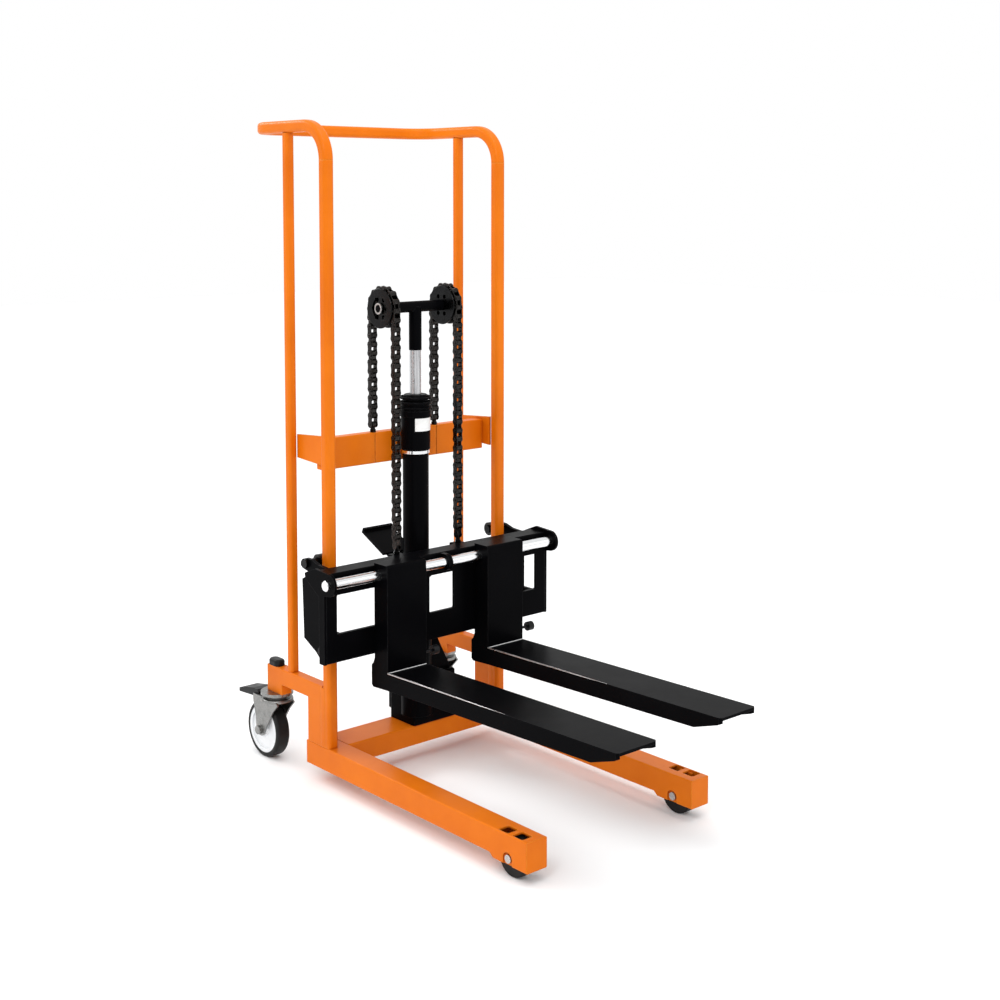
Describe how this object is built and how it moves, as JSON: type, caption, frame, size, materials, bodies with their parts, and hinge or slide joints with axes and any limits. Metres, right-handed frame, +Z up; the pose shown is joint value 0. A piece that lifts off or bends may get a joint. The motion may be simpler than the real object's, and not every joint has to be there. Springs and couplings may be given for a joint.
{
  "type": "pallet stacker",
  "caption": "Foot-pumped fork stacker: a push-along orange frame on casters and load rollers, with a hydraulic ram and two chains that raise a carriage with sliding forks",
  "frame": {"origin": "on the floor, in the middle of the overall length and width", "axes": "+X across the truck, to the right of someone who stands in front of the fork tips and faces it; +Y from the fork tips towards the operator's side; +Z up"},
  "size_m": [0.634, 1.123, 1.3987],
  "materials": {
    "orange_paint": "gloss",
    "black_paint": "satin",
    "chrome": "polished",
    "zinc": "satin",
    "chain_steel": "oiled",
    "white_nylon": "satin",
    "black_rubber": "matte",
    "black_plastic": "satin",
    "label": "satin"
  },
  "bodies": {
    "frame": {"post_front_left": "orange_paint", "post_front_right": "orange_paint", "post_rear_left": "orange_paint", "post_rear_right": "orange_paint", "handle_loop": "orange_paint", "side_plates": "orange_paint", "crossbar": "orange_paint", "caster_arm_left": "orange_paint", "caster_arm_right": "orange_paint", "leg_left": "orange_paint", "leg_right": "orange_paint", "cross_member": "orange_paint", "load_axles": "zinc", "pump_block": "black_paint", "pump_bolts": "zinc", "cylinder_barrel": "black_paint", "gland_nut": "black_paint", "cylinder_band": "zinc", "cylinder_label": "label", "pump_barrel": "black_paint", "pedal_bracket": "black_paint", "rear_anchors": "zinc", "rear_chains": "chain_steel", "socket_caps": "black_plastic", "caster_stems": "zinc"},
    "ram": {"ram_rod": "chrome", "crosshead": "black_paint", "sheave_clips": "zinc", "chain_wraps": "chain_steel"},
    "sheave_left": {"sheave_left": "chain_steel"},
    "sheave_right": {"sheave_right": "chain_steel"},
    "carriage": {"carriage_plate": "black_paint", "guide_plate_left": "black_paint", "guide_plate_right": "black_paint", "rod_brackets": "black_paint", "cross_rod": "chrome", "roller_studs": "zinc", "front_anchors": "zinc", "front_chains": "chain_steel"},
    "upper_roller_left": {"upper_roller_left": "chain_steel"},
    "upper_roller_right": {"upper_roller_right": "chain_steel"},
    "lower_roller_left": {"lower_roller_left": "chain_steel"},
    "lower_roller_right": {"lower_roller_right": "chain_steel"},
    "fork_left": {"fork_left": "black_paint"},
    "fork_right": {"fork_right": "black_paint"},
    "lock_screw_left": {"lock_screw_left": "black_plastic"},
    "lock_screw_right": {"lock_screw_right": "black_plastic"},
    "caster_left": {"caster_yoke_left": "zinc"},
    "caster_right": {"caster_yoke_right": "zinc"},
    "wheel_left": {"caster_tyre_left": "black_rubber", "caster_hub_left": "white_nylon"},
    "wheel_right": {"caster_tyre_right": "black_rubber", "caster_hub_right": "white_nylon"},
    "brake_left": {"brake_pedal_left": "black_plastic"},
    "brake_right": {"brake_pedal_right": "black_plastic"},
    "load_roller_left": {"load_roller_left": "black_rubber"},
    "load_roller_right": {"load_roller_right": "black_rubber"},
    "pump_pedal": {"pump_pedal": "black_paint"},
    "pump_plunger": {"pump_plunger": "chrome"},
    "release_lever": {"release_lever": "black_paint"}
  },
  "joints": [
    {"name": "lift", "type": "slide", "parent": "frame", "child": "ram", "axis": [0, 0, 1], "range_m": [-0.069, 0.4], "deforming": ["rear_chains"]},
    {"name": "carriage_slide", "type": "slide", "parent": "ram", "child": "carriage", "axis": [0, 0, 1], "range_m": [-0.069, 0.4], "deforming": ["front_chains"]},
    {"name": "sheave_left_spin", "type": "hinge", "parent": "ram", "child": "sheave_left", "pos_m": [-0.085, 0.2275, 1.003], "axis": [1, 0, 0], "continuous": true},
    {"name": "sheave_right_spin", "type": "hinge", "parent": "ram", "child": "sheave_right", "pos_m": [0.085, 0.2275, 1.003], "axis": [1, 0, 0], "continuous": true},
    {"name": "upper_roller_left_spin", "type": "hinge", "parent": "carriage", "child": "upper_roller_left", "pos_m": [-0.238, 0.2515, 0.478], "axis": [1, 0, 0], "continuous": true},
    {"name": "lower_roller_left_spin", "type": "hinge", "parent": "carriage", "child": "lower_roller_left", "pos_m": [-0.238, 0.1955, 0.304], "axis": [1, 0, 0], "continuous": true},
    {"name": "upper_roller_right_spin", "type": "hinge", "parent": "carriage", "child": "upper_roller_right", "pos_m": [0.238, 0.2515, 0.478], "axis": [1, 0, 0], "continuous": true},
    {"name": "lower_roller_right_spin", "type": "hinge", "parent": "carriage", "child": "lower_roller_right", "pos_m": [0.238, 0.1955, 0.304], "axis": [1, 0, 0], "continuous": true},
    {"name": "fork_left_slide", "type": "slide", "parent": "carriage", "child": "fork_left", "axis": [1, 0, 0], "range_m": [-0.11, 0.04]},
    {"name": "fork_right_slide", "type": "slide", "parent": "carriage", "child": "fork_right", "axis": [1, 0, 0], "range_m": [-0.07, 0.098]},
    {"name": "lock_screw_left_turn", "type": "hinge", "parent": "fork_left", "child": "lock_screw_left", "pos_m": [-0.08, 0.1125, 0.281], "axis": [1, 0, 0], "range_deg": [0, 360]},
    {"name": "lock_screw_right_turn", "type": "hinge", "parent": "fork_right", "child": "lock_screw_right", "pos_m": [0.193, 0.1125, 0.281], "axis": [1, 0, 0], "range_deg": [0, 360]},
    {"name": "caster_left_swivel", "type": "hinge", "parent": "frame", "child": "caster_left", "pos_m": [-0.234, 0.4265, 0.141], "axis": [0, 0, 1], "continuous": true},
    {"name": "wheel_left_spin", "type": "hinge", "parent": "caster_left", "child": "wheel_left", "pos_m": [-0.234, 0.462, 0.0625], "axis": [1, 0, 0], "continuous": true},
    {"name": "brake_left_press", "type": "hinge", "parent": "caster_left", "child": "brake_left", "pos_m": [-0.234, 0.4795, 0.132], "axis": [-1, 0, 0], "range_deg": [0, 8]},
    {"name": "load_roller_left_spin", "type": "hinge", "parent": "frame", "child": "load_roller_left", "pos_m": [-0.222, -0.3485, 0.0375], "axis": [1, 0, 0], "continuous": true},
    {"name": "caster_right_swivel", "type": "hinge", "parent": "frame", "child": "caster_right", "pos_m": [0.234, 0.4265, 0.141], "axis": [0, 0, 1], "continuous": true},
    {"name": "wheel_right_spin", "type": "hinge", "parent": "caster_right", "child": "wheel_right", "pos_m": [0.234, 0.462, 0.0625], "axis": [1, 0, 0], "continuous": true},
    {"name": "brake_right_press", "type": "hinge", "parent": "caster_right", "child": "brake_right", "pos_m": [0.234, 0.4795, 0.132], "axis": [-1, 0, 0], "range_deg": [0, 8]},
    {"name": "load_roller_right_spin", "type": "hinge", "parent": "frame", "child": "load_roller_right", "pos_m": [0.222, -0.3485, 0.0375], "axis": [1, 0, 0], "continuous": true},
    {"name": "pump_pedal_press", "type": "hinge", "parent": "frame", "child": "pump_pedal", "pos_m": [0, 0.2695, 0.433], "axis": [-1, 0, 0], "range_deg": [0, 35], "stiffness_Nm_per_rad": 2, "springref_deg": -22.92},
    {"name": "pump_plunger_slide", "type": "slide", "parent": "frame", "child": "pump_plunger", "axis": [0, 0, -1], "range_m": [0, 0.0165]},
    {"name": "release_lever_press", "type": "hinge", "parent": "frame", "child": "release_lever", "pos_m": [0.08, 0.2435, 0.132], "axis": [-1, 0, 0], "range_deg": [0, 25], "stiffness_Nm_per_rad": 0.6, "springref_deg": -17.19}
  ],
  "couplings": [
    {"joint": "carriage_slide", "follows": "lift", "ratio": 1},
    {"joint": "sheave_left_spin", "follows": "lift", "rad_per_m": -24.39},
    {"joint": "upper_roller_left_spin", "follows": "lift", "rad_per_m": 133.33},
    {"joint": "lower_roller_left_spin", "follows": "lift", "rad_per_m": -133.33},
    {"joint": "sheave_right_spin", "follows": "lift", "rad_per_m": -24.39},
    {"joint": "upper_roller_right_spin", "follows": "lift", "rad_per_m": 133.33},
    {"joint": "lower_roller_right_spin", "follows": "lift", "rad_per_m": -133.33},
    {"joint": "pump_plunger_slide", "follows": "pump_pedal_press", "m_per_rad": 0.0262}
  ]
}
